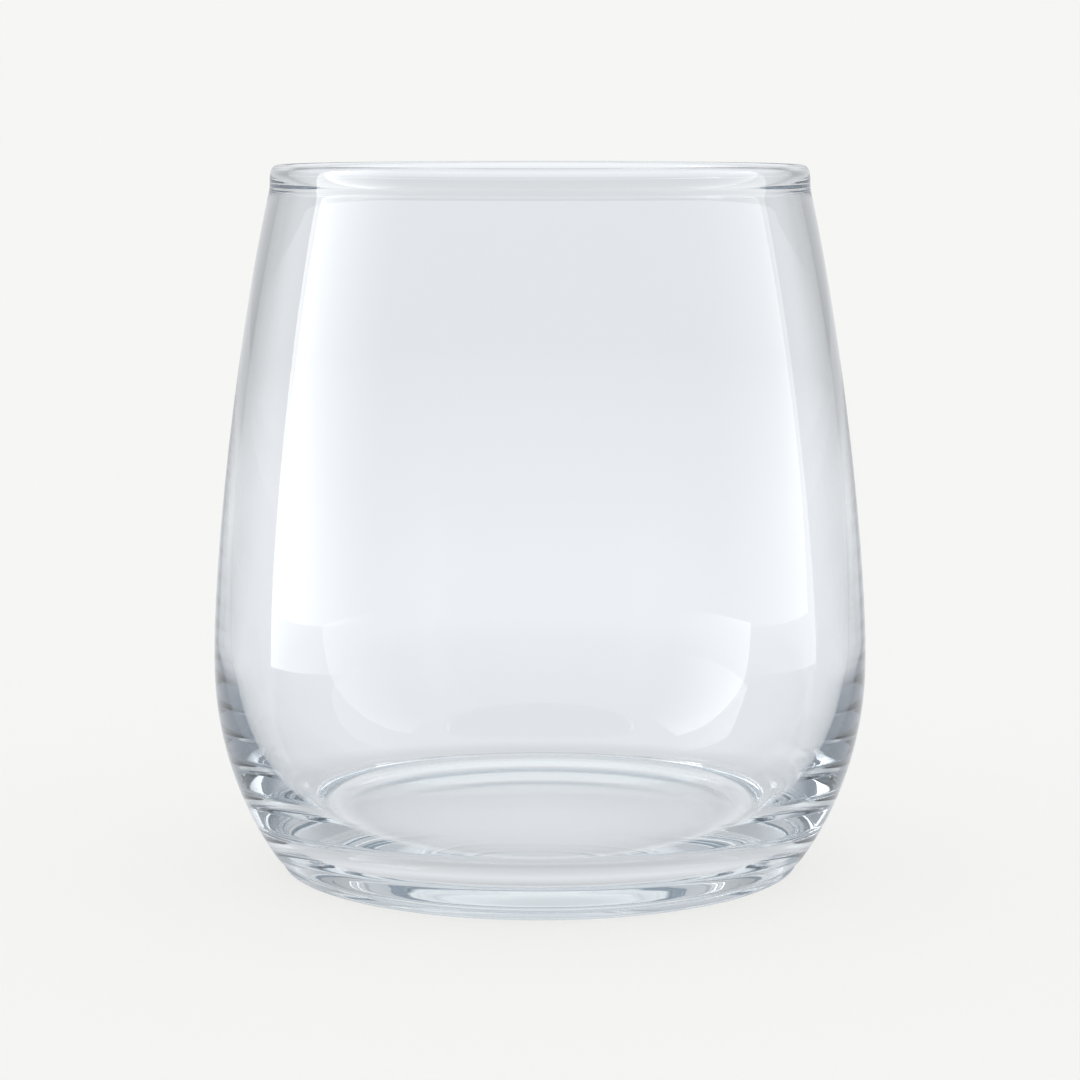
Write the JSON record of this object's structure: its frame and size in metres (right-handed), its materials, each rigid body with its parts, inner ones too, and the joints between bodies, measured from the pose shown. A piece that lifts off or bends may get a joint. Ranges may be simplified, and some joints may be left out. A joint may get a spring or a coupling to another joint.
{
  "type": "stemless wine glass",
  "caption": "Clear stemless wine glass with a round bowl that narrows to a melted rim, on a thick floor and a short foot with a hollow under it.",
  "frame": {"origin": "on the table, in the middle of the ring that the foot stands on", "axes": "+Z along the middle line of the glass, up through the mouth; X and Y lie in the table and are alike, because the glass is a body of revolution"},
  "size_m": [0.088, 0.088, 0.0942],
  "materials": {
    "clear_glass": "clear soda-lime glass, fire-polished, smooth and glossy all over, with a faint cool tint where it is thick"
  },
  "bodies": {
    "root": {"glass": "clear_glass"}
  },
  "joints": []
}
